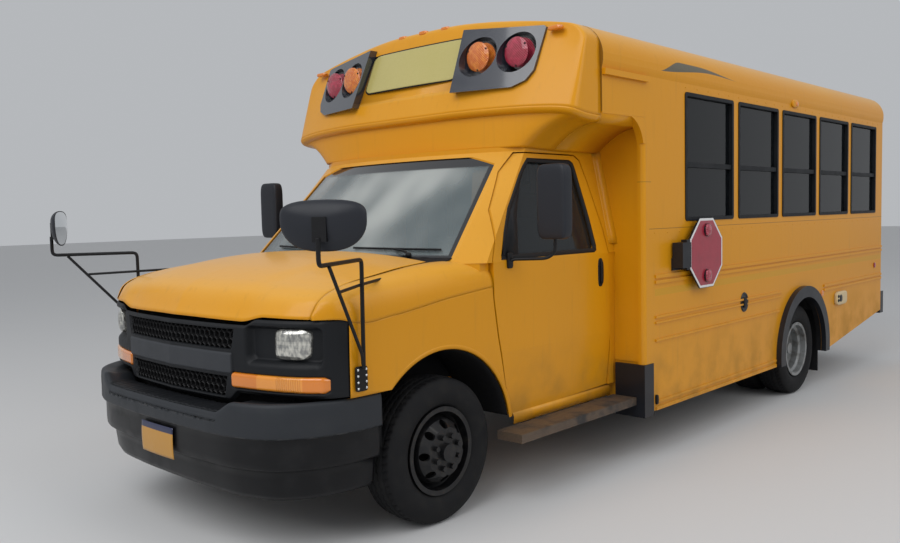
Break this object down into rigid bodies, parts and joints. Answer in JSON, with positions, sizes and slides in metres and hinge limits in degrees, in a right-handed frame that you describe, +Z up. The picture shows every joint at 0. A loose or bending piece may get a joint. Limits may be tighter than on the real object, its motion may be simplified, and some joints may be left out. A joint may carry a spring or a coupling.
{
  "type": "short school bus",
  "caption": "Short school bus on a van cab chassis, with opening doors, stop arm, steered front wheels and twin rear wheels.",
  "frame": {"origin": "on the ground under the centre of the overall length and width", "axes": "+X to the driver side (left), +Y to the rear, +Z up; the bus faces -Y"},
  "size_m": [2.83, 7.19, 2.7099],
  "materials": {
    "body_yellow": "gloss paint",
    "black_paint": "satin paint",
    "black_plastic": "matte",
    "silver_paint": "dull paint",
    "tyre_rubber": "matte",
    "black_rubber": "matte",
    "cast_metal": "rough",
    "bare_steel": "dull",
    "clear_glass": "clear",
    "dark_glass": "tinted",
    "clear_lens": "clear",
    "amber_lens": "gloss",
    "red_lens": "gloss",
    "floor_grey": "matte",
    "worn_wood": "worn, dirty paint",
    "seat_vinyl": "satin vinyl"
  },
  "bodies": {
    "bus": {"amber_lamps": "amber_lens", "bench_seats": "seat_vinyl", "body_floor": "floor_grey", "cab_shell": "body_yellow", "cab_surround": "body_yellow", "dashboard": "black_plastic", "driver_seat": "seat_vinyl", "engine_block": "cast_metal", "exhaust": "bare_steel", "fenders": "body_yellow", "fixed_mirrors": "black_plastic", "frame_rails": "black_paint", "front_bumper": "black_paint", "front_cap": "body_yellow", "front_suspension": "black_paint", "fuel_tank": "bare_steel", "grille_mesh": "black_plastic", "headlamps": "clear_lens", "kerb_cab_panel": "body_yellow", "leaf_springs": "black_paint", "lower_corners": "black_plastic", "mud_flaps": "black_rubber", "nose_panel": "black_plastic", "rear_axle": "black_paint", "rear_bumper": "black_paint", "rear_wall": "body_yellow", "red_lamps": "red_lens", "roof": "body_yellow", "running_board": "worn_wood", "side_wall_left": "body_yellow", "side_wall_right": "body_yellow", "stop_bracket": "black_paint", "turn_signals": "amber_lens", "warning_pods": "black_plastic", "wheel_flares": "black_rubber", "window_frames": "black_paint", "window_glass": "dark_glass", "windscreen": "clear_glass"},
    "driver_door": {"driver_door": "body_yellow", "driver_door_glass": "clear_glass", "driver_mirror": "black_plastic"},
    "entry_front": {"entry_leaf_front": "black_paint", "entry_glass_front": "clear_glass"},
    "entry_rear": {"entry_leaf_rear": "black_paint", "entry_glass_rear": "clear_glass"},
    "emergency_door": {"rear_door": "body_yellow", "rear_door_glass": "dark_glass"},
    "stop_arm": {"stop_sign": "black_plastic"},
    "bonnet": {"hood": "body_yellow"},
    "helm": {"steering_wheel": "black_plastic"},
    "knuckle_left": {"knuckle_left": "cast_metal"},
    "front_wheel_left": {"rim_front_left": "black_paint", "tyre_front_left": "tyre_rubber"},
    "rear_wheels_left": {"rims_rear_left": "silver_paint", "tyres_rear_left": "tyre_rubber"},
    "knuckle_right": {"knuckle_right": "cast_metal"},
    "front_wheel_right": {"rim_front_right": "black_paint", "tyre_front_right": "tyre_rubber"},
    "rear_wheels_right": {"rims_rear_right": "silver_paint", "tyres_rear_right": "tyre_rubber"}
  },
  "joints": [
    {"name": "steer_left", "type": "hinge", "parent": "bus", "child": "knuckle_left", "pos_m": [0.79, -2.585, 0.368], "axis": [0, 0, 1], "range_deg": [-30, 30]},
    {"name": "roll_front_left", "type": "hinge", "parent": "knuckle_left", "child": "front_wheel_left", "pos_m": [0.8735, -2.585, 0.368], "axis": [1, 0, 0], "continuous": true},
    {"name": "roll_rear_left", "type": "hinge", "parent": "bus", "child": "rear_wheels_left", "pos_m": [0.947, 1.454, 0.368], "axis": [1, 0, 0], "continuous": true},
    {"name": "steer_right", "type": "hinge", "parent": "bus", "child": "knuckle_right", "pos_m": [-0.79, -2.585, 0.368], "axis": [0, 0, 1], "range_deg": [-30, 30]},
    {"name": "roll_front_right", "type": "hinge", "parent": "knuckle_right", "child": "front_wheel_right", "pos_m": [-0.8735, -2.585, 0.368], "axis": [1, 0, 0], "continuous": true},
    {"name": "roll_rear_right", "type": "hinge", "parent": "bus", "child": "rear_wheels_right", "pos_m": [-0.947, 1.454, 0.368], "axis": [1, 0, 0], "continuous": true},
    {"name": "turn_helm", "type": "hinge", "parent": "bus", "child": "helm", "pos_m": [0.5, -1.945, 1.24], "axis": [0, 0.8485, 0.5292], "range_deg": [-450, 450]},
    {"name": "open_driver_door", "type": "hinge", "parent": "bus", "child": "driver_door", "pos_m": [1.003, -2.2, 1.1], "axis": [0, 0, -1], "range_deg": [0, 65]},
    {"name": "open_entry_front", "type": "hinge", "parent": "bus", "child": "entry_front", "pos_m": [-1.227, -0.904, 1.3], "axis": [0, 0, 1], "range_deg": [0, 90]},
    {"name": "open_entry_rear", "type": "hinge", "parent": "bus", "child": "entry_rear", "pos_m": [-1.227, -0.146, 1.3], "axis": [0, 0, -1], "range_deg": [0, 90]},
    {"name": "open_emergency_door", "type": "hinge", "parent": "bus", "child": "emergency_door", "pos_m": [-0.314, 3.503, 1.4], "axis": [0, 0, 1], "range_deg": [0, 110]},
    {"name": "swing_stop_arm", "type": "hinge", "parent": "bus", "child": "stop_arm", "pos_m": [1.266, -0.593, 1.252], "axis": [0, 0, -1], "range_deg": [0, 90]},
    {"name": "lift_bonnet", "type": "hinge", "parent": "bus", "child": "bonnet", "pos_m": [0, -2.525, 1.283], "axis": [-1, 0, 0], "range_deg": [0, 45]}
  ],
  "couplings": [
    {"joint": "steer_right", "follows": "steer_left", "ratio": 1},
    {"joint": "turn_helm", "follows": "steer_left", "ratio": 15},
    {"joint": "open_entry_rear", "follows": "open_entry_front", "ratio": 1}
  ]
}
